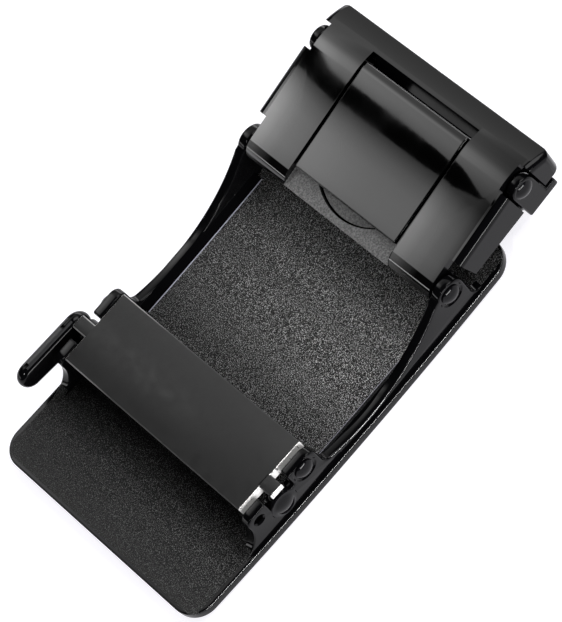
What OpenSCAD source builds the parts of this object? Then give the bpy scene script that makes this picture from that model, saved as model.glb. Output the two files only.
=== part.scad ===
// Ratchet belt buckle, lying on its face with its back up.
// X runs along the strap, with + towards the strap clamp. Y runs across the strap, with + towards the
// release lever. Z = 0 is the lowest point of the bowed face, in the middle of the plate.

/* [Strap] */
// Width of the strap that the buckle takes
strap_w = 35; // [30:0.5:40]
// Thickness of the strap
strap_t = 3; // [2.5:0.1:3.5]
// Gap between the strap and each side wall
strap_side_gap = 0.5; // [0.3:0.1:1]
// Gap between the strap and the pin that crosses above it
strap_top_gap = 0.8; // [0.5:0.1:1.2]

/* [Face plate] */
// Length of the face plate
plate_l = 62.5; // [58:0.5:70]
// Thickness of the face plate
plate_t = 1.6; // [1.3:0.1:2]
// Width of the ledge between the plate's edge and a side wall
plate_ledge = 0.5; // [0.3:0.1:1]
// Radius of the plate's corners
plate_corner_r = 3.5; // [2:0.5:6]
// Radius of the bow of the face along the strap
bow_r = 450; // [350:10:700]

/* [Side walls] */
// Thickness of each side wall
wall_t = 1.5; // [1.2:0.1:1.8]
// Height of the walls beside the pawl, above the face
hump_h = 8.1; // [7.9:0.1:8.6]
// Place of the front end of the front hump
hump_front_x = -4.6; // [-5:0.1:-4]
// Place of the rear end of the rear hump
hump_rear_x = -17.4; // [-18.5:0.1:-17]
// Radius of the outer corners of the humps
hump_corner_r = 1.4; // [0.8:0.1:1.8]
// Height of the lowest point of the wall's rim, above the face
saddle_h = 2.3; // [2.1:0.1:2.8]
// Place of the lowest point of the wall's rim
saddle_x = 3; // [1:0.5:5]
// Radius of the long sweep from the saddle up to the ear
saddle_r = 26; // [22:1:32]
// Radius of the fillet between the saddle and the front hump
saddle_fillet_r = 1.3; // [0.6:0.1:2]
// Radius of the hollow sweep at the wall's tail
tail_r = 4.1; // [3:0.1:5]
// Width of the notch that each tab of the pawl moves in
notch_w = 4.4; // [4.2:0.1:4.8]
// Height of the floor of the notch, above the face
notch_floor_h = 5.6; // [5.4:0.1:5.8]
// Radius of the blind spring hole in each wall
spring_hole_r = 0.95; // [0.6:0.05:1.1]
// Depth of the blind spring hole
spring_hole_depth = 0.8; // [0.4:0.1:1]
// Distance of the spring hole behind the pawl's pivot
spring_hole_back = 3.65; // [3.5:0.05:3.8]
// Height of the spring hole, above the face
spring_hole_h = 6.4; // [6:0.1:6.6]

/* [Pawl] */
// Place of the pawl's pivot
pivot_x = -12; // [-12.3:0.1:-11.7]
// Height of the pawl's pivot, above the face
pivot_h = 4.4; // [4.2:0.1:4.6]
// Radius of the round seat that each trunnion turns in
seat_r = 2.25; // [2.1:0.05:2.3]
// Running clearance between a trunnion and its seat
seat_gap = 0.05; // [0.03:0.01:0.08]
// Length of the pawl plate along the strap
pawl_l = 11.6; // [11:0.1:12]
// Thickness of the pawl plate
pawl_t = 1.1; // [0.9:0.1:1.3]
// Gap between the pawl plate and each side wall
pawl_side_gap = 0.3; // [0.2:0.05:0.5]
// Slope of the pawl plate, down towards its front edge
pawl_slope = 2.2; // [1:0.1:3]
// Distance from the stop pin to the pawl's front edge
pawl_front = 2.15; // [2:0.05:2.4]
// Width of each side tab
tab_w = 2.1; // [1.6:0.1:2.4]
// Distance from the pivot forward to the middle of the tabs
tab_offset = 0.45; // [0.2:0.05:0.6]
// Width of the tooth under the front edge
tooth_w = 16; // [10:1:24]
// Thickness of the tooth
tooth_t = 0.95; // [0.8:0.05:1.05]
// Height of the tooth's bevelled tip
tooth_bevel_h = 0.5; // [0.3:0.1:0.8]
// Depth by which the tooth's tip enters the strap's row of teeth
tooth_bite = 0.1; // [0:0.05:0.3]

/* [Stop pin] */
// Place of the stop pin
stop_x = -7.05; // [-7.2:0.05:-6.9]
// Radius of the stop pin
stop_r = 0.75; // [0.6:0.05:0.85]
// Gap between the stop pin and the pawl at rest
stop_gap = 0.05; // [0.03:0.01:0.1]

/* [Release lever] */
// Thickness of the lever across the strap
lever_t = 2; // [1.6:0.1:2.4]
// Gap between the lever and the plate's edge
lever_gap = 0.3; // [0.2:0.05:0.5]
// Radius of the lever's hub
lever_hub_r = 2.3; // [2.2:0.05:2.5]
// Distance from the pivot back to the middle of the hub
lever_hub_back = 0.2; // [0:0.05:0.4]
// Rise from the pivot to the middle of the hub
lever_hub_rise = 1.6; // [1.4:0.05:1.9]
// Radius of the lever's free end
lever_end_r = 2; // [1.6:0.1:2.3]
// Distance from the pivot back to the middle of the free end
lever_reach = 8.8; // [8:0.1:10]
// Rise from the pivot to the middle of the free end
lever_rise = 2.5; // [2.3:0.1:3]

/* [Pin heads] */
// Radius of the domed heads of all the pins
head_r = 1.6; // [1.3:0.05:1.7]
// Height of the domed heads
head_h = 0.55; // [0.3:0.05:0.7]
// Gap between a fixed pin and the hole that holds it
fixed_gap = 0.02; // [0.01:0.01:0.04]
// Running clearance between a hinge pin and its bore
hinge_gap = 0.05; // [0.03:0.01:0.08]

/* [Clamp hinge] */
// Distance from the clamp's hinge to the plate's front edge
clamp_inset = 9.5; // [8.5:0.25:10.25]
// Gap between the strap and the hinge knuckles above it
knuckle_strap_gap = 0.15; // [0.1:0.05:0.3]
// Radius of the clamp's hinge knuckles
knuckle_r = 1.6; // [1.5:0.05:1.9]
// Length of each hinge knuckle across the strap
knuckle_l = 3; // [2:0.25:4]
// Radius of the hinge stub pins
hinge_r = 1; // [0.8:0.05:1]
// Radius of the wall's ear around the hinge pin
ear_r = 2.3; // [2.2:0.1:2.6]
// Radius of the fillet between the ear and the plate
ear_fillet_r = 1.5; // [1:0.1:2]
// Slope of the clamp frame's top, up towards the strap mouth
frame_slope = 12; // [10:0.5:14]

/* [Clamp frame] */
// Height of the frame's top above its hinge line
frame_h = 2.45; // [2.3:0.05:2.7]
// Thickness of the frame's top and end wall
frame_t = 1.2; // [1:0.05:1.3]
// Thickness of the frame's side rails
rail_t = 1.2; // [1:0.1:1.3]
// Radius of the rounded top edge of each rail
rail_round_r = 1.1; // [0.6:0.1:1.2]
// Distance from the hinge to the rear end of the rails
rail_start = 3.8; // [3.6:0.1:4.4]
// Gap between the frame and each ear
ear_gap = 0.3; // [0.2:0.05:0.5]
// Radius of the roll at the frame's rear end
roll_r = 2.2; // [2.1:0.05:2.4]
// Distance from the hinge to the start of the crown over the mouth
crown_start = 15; // [14:0.5:16]
// Radius of the crown over the mouth
crown_r = 10; // [9:0.5:12]
// Distance from the hinge to the frame's front end, along the strap
frame_reach = 21.45; // [21.2:0.05:22.5]
// Radius of the frame's front corners
frame_corner_r = 1.3; // [0.8:0.1:1.6]
// Half width of the window for the flap
window_half_w = 10.05; // [9:0.05:11]
// Distance from the hinge to the window's front edge
window_front = 19; // [18.9:0.05:19.3]
// Distance from the hinge back to the crossbar's rear edge
bar_rear = 2; // [1.6:0.1:2.1]
// Distance from the hinge forward to the crossbar's front edge
bar_front = 4; // [3:0.25:6]
// Gap between the closed flap and the crossbar below it
flap_rest_gap = 0.05; // [0.03:0.01:0.2]
// Height of the crossbar's underside and the rolls above the hinge line
bar_bottom = -0.4; // [-0.6:0.1:0]
// Radius of the fingernail scoop in the crossbar
scoop_r = 9.3; // [8:0.1:11]
// Distance that the scoop reaches behind the flap's rear edge
scoop_reach = 1.8; // [1:0.05:2]
// Depth of the fingernail scoop
scoop_depth = 0.5; // [0.3:0.05:0.8]
// Thickness of the web on each side of the window that holds the flap pin
web_t = 1; // [0.8:0.1:1.4]
// Radius of the web around the flap pin
web_r = 1.9; // [1.6:0.1:2.2]

/* [Clamp bracket] */
// Slope of the bracket, up towards the strap mouth
bracket_slope = 5.5; // [4.5:0.5:7]
// Thickness of the bracket plate
bracket_t = 1.45; // [1.2:0.05:1.6]
// Gap between the bracket plate and the rails above it
bracket_gap = 0.8; // [0.6:0.05:0.9]
// Depth of the rails' lower edges below the hinge line
rail_depth = 1.65; // [1.5:0.05:1.8]
// Distance from the hinge to the bracket's rear edge
bracket_rear = 4.5; // [4.2:0.1:8]
// Distance from the hinge to the bracket's front edge
bracket_front = 19.7; // [19.2:0.1:20.4]
// Gap between the bracket plate and each rail
bracket_side_gap = 0.35; // [0.2:0.05:0.5]
// Length of each lug along the strap
lug_l = 3.8; // [3.4:0.1:4.2]
// Thickness of each lug
lug_t = 1.35; // [1.1:0.05:1.5]
// Gap round each lug in the frame's notch
lug_gap = 0.3; // [0.2:0.05:0.5]
// Gap between the strap and the frame above the mouth
mouth_gap = 0.3; // [0.2:0.05:0.5]

/* [Clamp flap] */
// Distance from the hinge line to the flap pin
flap_pin_u = 16.2; // [15.8:0.1:16.4]
// Radius of the flap pin
flap_pin_r = 0.6; // [0.5:0.05:0.65]
// Gap between the flap and each side of the window
flap_gap = 0.4; // [0.3:0.05:0.6]
// Thickness of the flap
flap_t = 1; // [0.9:0.05:1.2]
// Distance from the hinge line to the flap's rear edge
flap_rear = 0.95; // [0.7:0.05:1.2]
// Gap between the strap and the flap when it is fully open
open_gap = 0.05; // [0.03:0.01:0.15]
// Radius of the flap's hub below its pin
flap_hub_r = 1.7; // [1.5:0.05:1.8]
// Radius of the circle through the tips of the biting teeth
bite_r = 2.5; // [2.3:0.05:2.7]
// Half the pitch of the biting teeth, as an angle
bite_angle = 16; // [13:1:18]

/* [Hidden] */

round_fn = 96;
bow_fn = 1440;
far = 60;
skin = 0.01;

inner_y = strap_w / 2 + strap_side_gap;
outer_y = inner_y + wall_t;
plate_y = outer_y + plate_ledge;

stop_h = plate_t + strap_t + strap_top_gap + stop_r;
pawl_under = stop_r + stop_gap;
pawl_y = inner_y - pawl_side_gap;
tooth_tip = plate_t + strap_t - tooth_bite - stop_h;
trunnion_r = seat_r - seat_gap;
lever_y = plate_y + lever_gap;

clamp_x = plate_l / 2 - clamp_inset;
clamp_h = bow_rise(clamp_x) + plate_t + strap_t + knuckle_strap_gap + knuckle_r;
frame_end_x = clamp_x + frame_reach;
knuckle_y = inner_y - ear_gap;
roll_u = 0.1;
roll_w = frame_h - roll_r;
crown_w = frame_h - crown_r;
rail_y = outer_y - rail_t;
notch_y = outer_y - lug_t - lug_gap;
flap_y = window_half_w - flap_gap;
bar_h = frame_h - flap_t - flap_rest_gap;
mouth_y = inner_y;

bracket_turn = frame_slope - bracket_slope;
bracket_top = -rail_depth - bracket_gap;
pin_u = flap_pin_u * cos(bracket_turn);
pin_w = flap_pin_u * sin(bracket_turn);
mouth_w = bracket_top + strap_t + mouth_gap;
flap_cut = pin_w - bracket_top - strap_t - open_gap;

// Height of the bowed face above its lowest point, at place x.
function bow_rise(x) = bow_r - sqrt(bow_r * bow_r - x * x);

// Unit normal to the line that touches two circles on the same side, as an angle.
function tangent_angle(dx, dz, r0, r1, side) =
    atan2(dz, dx) + side * acos((r0 - r1) / norm([dx, dz]));

// Extrudes an outline in X and Z across the strap, from y0 to y1.
module across(y0, y1) {
    translate([0, y1, 0])
        rotate([90, 0, 0])
            linear_extrude(height = y1 - y0)
                children();
}

module both_sides() {
    children();
    mirror([0, 1, 0])
        children();
}

// A disc in the X and Z outline plane.
module disc(x, z, r) {
    translate([x, z])
        circle(r, $fn = round_fn);
}

module block(x0, x1, z0, z1) {
    translate([x0, z0])
        square([x1 - x0, z1 - z0]);
}

// Two discs joined by their outer tangents.
module link(x0, z0, r0, x1, z1, r1) {
    upper = tangent_angle(x1 - x0, z1 - z0, r0, r1, 1);
    lower = tangent_angle(x1 - x0, z1 - z0, r0, r1, -1);
    disc(x0, z0, r0);
    disc(x1, z1, r1);
    polygon([
        [x0 + r0 * cos(upper), z0 + r0 * sin(upper)],
        [x1 + r1 * cos(upper), z1 + r1 * sin(upper)],
        [x1 + r1 * cos(lower), z1 + r1 * sin(lower)],
        [x0 + r0 * cos(lower), z0 + r0 * sin(lower)]
    ]);
}

// Outline axes of the pawl plate: its origin is the stop pin's axis.
module at_pawl() {
    translate([stop_x, stop_h])
        rotate(-pawl_slope)
            children();
}

// Outline axes of the clamp frame: its origin is the hinge line.
module at_frame() {
    translate([clamp_x, clamp_h])
        rotate(frame_slope)
            children();
}

// Outline axes of the clamp bracket, with the same origin.
module at_bracket() {
    translate([clamp_x, clamp_h])
        rotate(bracket_slope)
            children();
}

// A pin along Y with a domed head outside y1, and another outside y0 if both is true.
module headed_pin(x, z, r, y0, y1, both) {
    translate([x, y0, z])
        rotate([-90, 0, 0])
            cylinder(r = r, h = y1 - y0, $fn = round_fn);
    translate([x, y1, z])
        rotate([-90, 0, 0])
            dome();
    if (both)
        translate([x, y0, z])
            rotate([90, 0, 0])
                dome();
}

module dome() {
    dome_r = (head_r * head_r + head_h * head_h) / (2 * head_h);
    rotate_extrude($fn = round_fn)
        intersection() {
            translate([0, head_h - dome_r])
                circle(dome_r, $fn = 4 * round_fn);
            square([head_r, head_h]);
        }
}

// The plan of the face plate: a rectangle with round corners.
module plate_plan() {
    half_l = plate_l / 2;
    square([plate_l - 2 * plate_corner_r, 2 * plate_y], center = true);
    square([plate_l, 2 * (plate_y - plate_corner_r)], center = true);
    for (sx = [-1, 1], sy = [-1, 1])
        translate([sx * (half_l - plate_corner_r), sy * (plate_y - plate_corner_r)])
            circle(plate_corner_r, $fn = round_fn);
}

module face_plate() {
    intersection() {
        across(-plate_y - 1, plate_y + 1)
            difference() {
                translate([0, bow_r])
                    circle(bow_r, $fn = bow_fn);
                translate([0, bow_r])
                    circle(bow_r - plate_t, $fn = bow_fn);
            }
        translate([0, 0, -1])
            linear_extrude(height = bow_rise(plate_l / 2) + plate_t + 2)
                plate_plan();
    }
}

// The rim between the front hump and the ear is cut by one long sweep, with a fillet at the hump.
module saddle_cut() {
    sweep_z = saddle_h + saddle_r;
    fillet_x = hump_front_x + saddle_fillet_r;
    reach = saddle_x - fillet_x;
    fillet_z = sweep_z - sqrt(pow(saddle_r - saddle_fillet_r, 2) - reach * reach);
    intersection() {
        disc(saddle_x, sweep_z, saddle_r);
        block(fillet_x, clamp_x, 0, far);
    }
    disc(fillet_x, fillet_z, saddle_fillet_r);
    block(hump_front_x, fillet_x + skin, fillet_z, far);
}

// A square corner at x, z is trimmed to a round one. The corner's wall lies on side sx.
module corner_trim(x, z, r, sx) {
    difference() {
        block(min(x - sx * r, x + sx), max(x - sx * r, x + sx), z - r, z + 1);
        disc(x - sx * r, z - r, r);
    }
}

module wall_outline() {
    tail_x = hump_rear_x - tail_r;
    tail_z = bow_rise(tail_x) + plate_t + tail_r;
    foot_x = clamp_x + ear_r + ear_fillet_r;
    foot_z = bow_rise(foot_x) + plate_t;
    difference() {
        union() {
            block(tail_x, clamp_x, plate_t / 2, hump_h);
            block(clamp_x - ear_r, clamp_x + ear_r, plate_t, clamp_h);
            disc(clamp_x, clamp_h, ear_r);
            block(clamp_x, foot_x, plate_t / 2, foot_z + ear_fillet_r);
        }
        disc(foot_x, foot_z + ear_fillet_r, ear_fillet_r);
        disc(tail_x, tail_z, tail_r);
        block(tail_x - 1, hump_rear_x, tail_z, far);
        difference() {
            saddle_cut();
            disc(clamp_x, clamp_h, ear_r);
        }
        corner_trim(hump_rear_x, hump_h, hump_corner_r, -1);
        corner_trim(hump_front_x, hump_h, hump_corner_r, 1);
        notch_mid = pivot_x + tab_offset;
        block(notch_mid - notch_w / 2, notch_mid + notch_w / 2, notch_floor_h, far);
        disc(pivot_x, pivot_h, seat_r);
        disc(stop_x, stop_h, stop_r + fixed_gap);
        disc(clamp_x, clamp_h, hinge_r + fixed_gap);
    }
}

module body() {
    color([0.1, 0.1, 0.11]) {
        difference() {
            union() {
                face_plate();
                both_sides()
                    across(inner_y, outer_y)
                        wall_outline();
            }
            both_sides()
                across(outer_y - spring_hole_depth, outer_y + 1)
                    disc(pivot_x - spring_hole_back, spring_hole_h, spring_hole_r);
        }
    }
}

// The plate's middle line runs from the rear edge to the front edge, with the tooth below the front edge.
module pawl_plate() {
    rear = pawl_front - pawl_l;
    tab_u = pivot_x + tab_offset - stop_x;
    color([0.22, 0.22, 0.22]) {
        across(-pawl_y, pawl_y)
            at_pawl()
                block(rear, pawl_front, pawl_under, pawl_under + pawl_t);
        across(-outer_y, lever_y)
            at_pawl()
                block(tab_u - tab_w / 2, tab_u + tab_w / 2, pawl_under, pawl_under + pawl_t);
        across(-tooth_w / 2, tooth_w / 2)
            at_pawl()
                polygon([
                    [pawl_front - tooth_t, pawl_under + skin],
                    [pawl_front - tooth_t, tooth_tip],
                    [pawl_front - tooth_t / 2, tooth_tip],
                    [pawl_front, tooth_tip + tooth_bevel_h],
                    [pawl_front, pawl_under + skin]
                ]);
    }
}

// A round trunnion with a neck that carries a tab of the pawl plate.
module trunnion(y0, y1) {
    tab_u = pivot_x + tab_offset - stop_x;
    across(y0, y1) {
        disc(pivot_x, pivot_h, trunnion_r);
        at_pawl()
            block(tab_u - tab_w / 2, tab_u + tab_w / 2, pivot_h - stop_h, pawl_under);
    }
}

module pawl_hub() {
    color([0.06, 0.06, 0.06])
        trunnion(-outer_y, -inner_y);
}

// The lever's hub stands above the left trunnion, beside the end of the left tab.
module release_lever() {
    color([0.06, 0.06, 0.06]) {
        trunnion(inner_y, lever_y);
        across(lever_y, lever_y + lever_t)
            link(pivot_x - lever_hub_back, pivot_h + lever_hub_rise, lever_hub_r,
                 pivot_x - lever_reach, pivot_h + lever_rise, lever_end_r);
    }
}

module stop_pin() {
    color([0.08, 0.08, 0.08])
        headed_pin(stop_x, stop_h, stop_r, -outer_y, outer_y, true);
}

module hinge_pin() {
    color([0.08, 0.08, 0.08])
        headed_pin(clamp_x, clamp_h, hinge_r, knuckle_y - knuckle_l + hinge_gap, outer_y, false);
}

module hinge_pin_left() {
    hinge_pin();
}

module hinge_pin_right() {
    mirror([0, 1, 0])
        hinge_pin();
}

// The outside of the frame seen from the side: a flat top, a crown and an upright front end.
module frame_outline(depth) {
    intersection() {
        at_frame()
            union() {
                block(roll_u, crown_start, -far, frame_h - depth);
                disc(crown_start, crown_w, crown_r - depth);
            }
        block(-far, frame_end_x - depth, -far, far);
    }
}

// The space below the frame's top, between its rails and behind its end wall.
module frame_hollow() {
    across(-rail_y, rail_y)
        difference() {
            frame_outline(frame_t);
            at_frame()
                block(-far, roll_u + roll_r + skin, -far, far);
        }
}

module frame_shell() {
    difference() {
        across(-outer_y, outer_y)
            intersection() {
                frame_outline(0);
                at_bracket()
                    block(rail_start - 1, far, -rail_depth, far);
                at_frame()
                    block(rail_start, far, -far, far);
            }
        frame_hollow();
        both_sides() {
            rail_rounding();
            front_corner_waste();
        }
        both_sides()
            across(notch_y, outer_y + 1)
                at_bracket()
                    block(pin_u - lug_l / 2 - lug_gap, pin_u + lug_l / 2 + lug_gap, -far, far);
    }
}

// What is cut from a square edge to leave it round; the origin is the middle of the rounding.
module edge_waste() {
    difference() {
        square(2 * rail_round_r);
        circle(rail_round_r, $fn = round_fn);
    }
}

// The side edges of the frame's top are rounded along the flat part and over the crown.
module rail_rounding() {
    translate([clamp_x, 0, clamp_h])
        rotate([0, -frame_slope, 0]) {
            translate([rail_start - 1, outer_y - rail_round_r, frame_h - rail_round_r])
                rotate([90, 0, 90])
                    linear_extrude(height = crown_start - rail_start + 1)
                        edge_waste();
            translate([crown_start, outer_y - rail_round_r, crown_w])
                intersection() {
                    rotate([-90, 0, 0])
                        rotate_extrude($fn = 4 * round_fn)
                            translate([crown_r - rail_round_r, 0])
                                edge_waste();
                    cube(far);
                }
        }
}

// The frame's front corners, seen from above, are round.
module front_corner_waste() {
    translate([frame_end_x - frame_corner_r, outer_y - frame_corner_r, 0])
        linear_extrude(height = far)
            difference() {
                square(2 * frame_corner_r);
                circle(frame_corner_r, $fn = round_fn);
            }
}

// Behind the rails the frame runs on between the ears and ends in a roll over the hinge line.
module frame_rear() {
    across(-knuckle_y, knuckle_y)
        at_frame() {
            block(roll_u, rail_start + skin, frame_h - frame_t, frame_h);
            intersection() {
                disc(roll_u, roll_w, roll_r);
                block(-far, far, bar_bottom, far);
            }
        }
    both_sides()
        across(knuckle_y - knuckle_l, knuckle_y)
            at_frame()
                disc(0, 0, knuckle_r);
}

module frame_crossbar() {
    difference() {
        across(-window_half_w - skin, window_half_w + skin)
            at_frame()
                block(-bar_rear, bar_front, bar_bottom, bar_h);
        translate([clamp_x, 0, clamp_h])
            rotate([0, -frame_slope, 0])
                translate([flap_rear - scoop_reach + scoop_r, 0, bar_h - scoop_depth])
                    cylinder(r = scoop_r, h = far, $fn = round_fn);
    }
}

module frame_webs() {
    both_sides()
        across(window_half_w, window_half_w + web_t)
            at_frame() {
                disc(flap_pin_u, 0, web_r);
                block(flap_pin_u - web_r, flap_pin_u + web_r, 0, frame_h - frame_t + skin);
            }
}

module clamp_frame() {
    color([0.16, 0.16, 0.16])
        difference() {
            union() {
                difference() {
                    union() {
                        frame_shell();
                        frame_rear();
                    }
                    across(-window_half_w, window_half_w)
                        at_frame()
                            block(-far, window_front, -far, far);
                    across(-mouth_y, mouth_y)
                        at_bracket()
                            block(pin_u, far, -far, mouth_w);
                }
                frame_crossbar();
                frame_webs();
            }
            both_sides()
                across(window_half_w - 1, knuckle_y + 1)
                    at_frame()
                        disc(0, 0, hinge_r + hinge_gap);
            both_sides()
                across(window_half_w - 1, outer_y + 1)
                    at_frame()
                        disc(flap_pin_u, 0, flap_pin_r + fixed_gap);
        }
}

module clamp_bracket() {
    lug_rear = pin_u - lug_l / 2;
    lug_front = pin_u + lug_l / 2;
    color([0.1, 0.1, 0.11])
        difference() {
            union() {
                across(-rail_y + bracket_side_gap, rail_y - bracket_side_gap)
                    at_bracket()
                        block(bracket_rear, bracket_front, bracket_top - bracket_t, bracket_top);
                across(-outer_y, outer_y)
                    at_bracket()
                        block(lug_rear, bracket_front, bracket_top - bracket_t, bracket_top);
                both_sides()
                    across(outer_y - lug_t, outer_y)
                        at_bracket() {
                            block(lug_rear, lug_front, bracket_top - bracket_t, pin_w);
                            disc(pin_u, pin_w, lug_l / 2);
                        }
            }
            both_sides()
                across(outer_y - lug_t - 1, outer_y + 1)
                    at_frame()
                        disc(flap_pin_u, 0, flap_pin_r + fixed_gap);
        }
}

module flap_pin() {
    pin_x = clamp_x + flap_pin_u * cos(frame_slope);
    pin_z = clamp_h + flap_pin_u * sin(frame_slope);
    color([0.08, 0.08, 0.08])
        headed_pin(pin_x, pin_z, flap_pin_r, -outer_y, outer_y, true);
}

// The teeth stand on the hub, below and behind the pin.
module biting_teeth() {
    root_r = (flap_hub_r + flap_pin_r) / 2;
    for (angle = [-150 : 2 * bite_angle : -80])
        polygon([
            [root_r * cos(angle - bite_angle), root_r * sin(angle - bite_angle)],
            [bite_r * cos(angle), bite_r * sin(angle)],
            [root_r * cos(angle + bite_angle), root_r * sin(angle + bite_angle)]
        ]);
}

// The barrel round the pin is cut off flat in front, so that the open flap lets the strap through.
module flap_outline() {
    block(flap_rear, flap_pin_u, frame_h - flap_t, frame_h);
    translate([flap_pin_u, 0])
        intersection() {
            union() {
                circle(flap_hub_r, $fn = round_fn);
                biting_teeth();
                intersection() {
                    circle(frame_h, $fn = round_fn);
                    block(-frame_h, frame_h, 0, frame_h);
                }
            }
            block(-far, flap_cut, -far, far);
        }
}

module clamp_flap() {
    color([0.2, 0.2, 0.2])
        difference() {
            across(-flap_y, flap_y)
                at_frame()
                    flap_outline();
            across(-flap_y - 1, flap_y + 1)
                at_frame()
                    disc(flap_pin_u, 0, flap_pin_r + hinge_gap);
        }
}

body();
pawl_plate();
pawl_hub();
release_lever();
stop_pin();
hinge_pin_left();
hinge_pin_right();
clamp_frame();
clamp_bracket();
flap_pin();
clamp_flap();
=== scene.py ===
from collections import namedtuple
import bmesh
import bpy
import numpy as np
from mathutils import Matrix, Vector


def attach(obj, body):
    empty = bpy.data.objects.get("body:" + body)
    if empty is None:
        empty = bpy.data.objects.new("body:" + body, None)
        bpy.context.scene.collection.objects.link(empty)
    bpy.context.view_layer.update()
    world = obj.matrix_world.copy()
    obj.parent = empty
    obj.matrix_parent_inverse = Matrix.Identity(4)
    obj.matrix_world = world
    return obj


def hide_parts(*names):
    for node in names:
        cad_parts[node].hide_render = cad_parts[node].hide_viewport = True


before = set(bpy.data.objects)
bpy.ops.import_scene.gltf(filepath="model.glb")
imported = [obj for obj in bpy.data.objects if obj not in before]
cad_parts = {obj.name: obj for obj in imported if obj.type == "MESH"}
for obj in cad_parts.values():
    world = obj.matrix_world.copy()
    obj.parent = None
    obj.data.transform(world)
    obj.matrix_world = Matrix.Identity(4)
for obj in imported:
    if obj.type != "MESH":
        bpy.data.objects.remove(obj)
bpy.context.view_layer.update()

# The table and the lights
# The buckle lies on its face on a plain pale table, and is seen from above its right side.
# Sizes in the script are in millimetres, and are turned to metres where a mesh is made.

eye = np.array([-15.45, -251.78, 406.37])
right = np.array([0.6536, -0.6572, -0.3753])
down = np.array([-0.7554, -0.5360, -0.3769])
forward = np.array([0.0466, 0.5299, -0.8468])


def put(name, data):
    """A new object in the scene."""
    piece = bpy.data.objects.new(name, data)
    bpy.context.scene.collection.objects.link(piece)
    return piece


camera_data = bpy.data.cameras.new("camera")
camera_data.sensor_fit = "HORIZONTAL"
camera_data.sensor_width = 36.0
camera_data.lens = 234.3
camera_data.clip_start = 0.02
camera = put("camera", camera_data)
axes = np.column_stack([right, -down, -forward])
turn = Matrix([[*row, 0.0] for row in axes.tolist()] + [[0, 0, 0, 1]])
camera.matrix_world = Matrix.Translation(Vector(eye / 1000)) @ turn
bpy.context.scene.camera = camera
bpy.context.scene.view_settings.view_transform = "Standard"


def add_mesh(name, points, faces, smooth=True):
    """A mesh object from points in millimetres and a list of faces."""
    mesh = bpy.data.meshes.new(name)
    mesh.from_pydata((np.asarray(points) / 1000).tolist(), [], faces)
    mesh.polygons.foreach_set("use_smooth", [smooth] * len(mesh.polygons))
    mesh.update()
    return put(name, mesh)


def coat(piece, *materials):
    """Gives a piece its materials, in the order of their numbers, in place of any it had."""
    piece.data.materials.clear()
    for material in materials:
        piece.data.materials.append(material)


Finish = namedtuple("Finish", "material nodes links shader")


def add_finish(name, color, roughness, metallic=0.0):
    """A node material with one shader, whose even values are set on the shader itself."""
    material = bpy.data.materials.new(name)
    material.use_nodes = True
    shader = material.node_tree.nodes["Principled BSDF"]
    shader.inputs["Base Color"].default_value = (*color, 1.0)
    shader.inputs["Roughness"].default_value = roughness
    shader.inputs["Metallic"].default_value = metallic
    return Finish(material, material.node_tree.nodes, material.node_tree.links, shader)


def add_node(nodes, kind, values, operation=None):
    """A shader node with the given values in its sockets."""
    node = nodes.new(kind)
    if operation:
        node.operation = operation
    for socket, value in values.items():
        node.inputs[socket].default_value = value
    return node


def add_range(nodes, low, high, to_low=0.0, to_high=1.0):
    """A node that carries values from low to high over to values from to_low to to_high."""
    return add_node(nodes, "ShaderNodeMapRange", {"From Min": low, "From Max": high,
                                                  "To Min": to_low, "To Max": to_high})


def add_ramp(nodes, stops):
    """A colour ramp through stops of (place, colour), where one number stands for a grey."""
    ramp = nodes.new("ShaderNodeValToRGB")
    elements = ramp.color_ramp.elements
    elements[0].position, elements[1].position = stops[0][0], stops[-1][0]
    for place, _ in stops[1:-1]:
        elements.new(place)
    for element, (_, color) in zip(elements, stops):
        element.color = (*np.broadcast_to(color, 3).tolist(), 1.0)
    return ramp


def join(links, *pairs):
    """Links each pair of an output and an input."""
    for source, target in pairs:
        links.new(source, target)


def grain(finish, scale, detail, strength, distance, stretch=(1, 1, 1)):
    """Fine relief: a noise on Object coordinates pushes the surface by up to distance (in metres)
    times strength. Gives back the nodes for the coordinates, the noise and the relief."""
    place = add_node(finish.nodes, "ShaderNodeTexCoord", {})
    mapping = add_node(finish.nodes, "ShaderNodeMapping", {"Scale": stretch})
    noise = add_node(finish.nodes, "ShaderNodeTexNoise", {"Scale": scale, "Detail": detail})
    relief = add_node(finish.nodes, "ShaderNodeBump", {"Strength": strength, "Distance": distance})
    join(finish.links, (place.outputs["Object"], mapping.inputs["Vector"]),
         (mapping.outputs["Vector"], noise.inputs["Vector"]),
         (noise.outputs[0], relief.inputs["Height"]),
         (relief.outputs["Normal"], finish.shader.inputs["Normal"]))
    return mapping, noise, relief


def vary_roughness(finish, mapping, scale, low, high):
    """A slow noise, most of which lies between 0.35 and 0.65, moves the roughness between low and
    high."""
    noise = add_node(finish.nodes, "ShaderNodeTexNoise", {"Scale": scale, "Detail": 4.0})
    reach = add_range(finish.nodes, 0.35, 0.65, low, high)
    join(finish.links, (mapping.outputs["Vector"], noise.inputs["Vector"]),
         (noise.outputs[0], reach.inputs["Value"]),
         (reach.outputs["Result"], finish.shader.inputs["Roughness"]))


table_corners = [(-900, -900, 0), (900, -900, 0), (900, 900, 0), (-900, 900, 0)]
paper = add_finish("pale_table", (0.42, 0.42, 0.42), 0.75)
grain(paper, 900, 3, 0.05, 0.0003)
paper.shader.inputs["Emission Color"].default_value = (0.96, 0.95, 1.0, 1.0)
paper.shader.inputs["Emission Strength"].default_value = 0.82
table = add_mesh("table", table_corners, [(0, 1, 2, 3)])
coat(table, paper.material)


def add_light(name, at, size, power):
    """A square area light at a place, turned to face the middle of the table, in millimetres."""
    data = bpy.data.lights.new(name, "AREA")
    data.shape = "RECTANGLE"
    data.size = data.size_y = size / 1000
    data.energy = power
    aim = (-Vector(at)).to_track_quat("-Z", "Y").to_matrix().to_4x4()
    put(name, data).matrix_world = Matrix.Translation(Vector(at) / 1000) @ aim


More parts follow.
